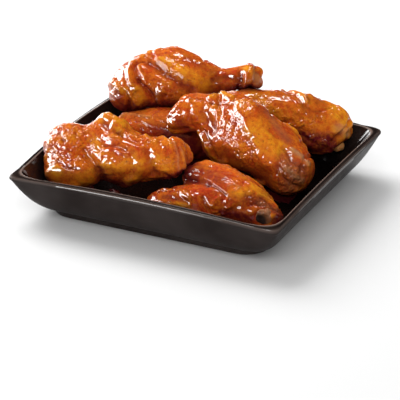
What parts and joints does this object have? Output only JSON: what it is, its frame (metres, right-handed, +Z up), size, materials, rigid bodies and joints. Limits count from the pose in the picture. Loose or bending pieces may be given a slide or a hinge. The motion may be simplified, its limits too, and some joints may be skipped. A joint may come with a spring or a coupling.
{
  "type": "chicken wings serving",
  "caption": "Square black dish with sloping sides, holding glazed chicken wings that lie and lean on each other.",
  "frame": {"origin": "centre of the dish's foot, on the table", "axes": "+X along the dish's front edge to the right, +Y to its back edge, +Z up"},
  "size_m": [0.162, 0.162, 0.0607],
  "materials": {
    "dish": "glossy black glaze",
    "wing": "wet amber glaze over roast skin"
  },
  "bodies": {
    "root": {"dish": "dish", "wing_back_floor": "wing", "wing_front": "wing", "wing_right": "wing", "wing_left": "wing", "wing_middle": "wing", "wing_back_top": "wing"}
  },
  "joints": []
}
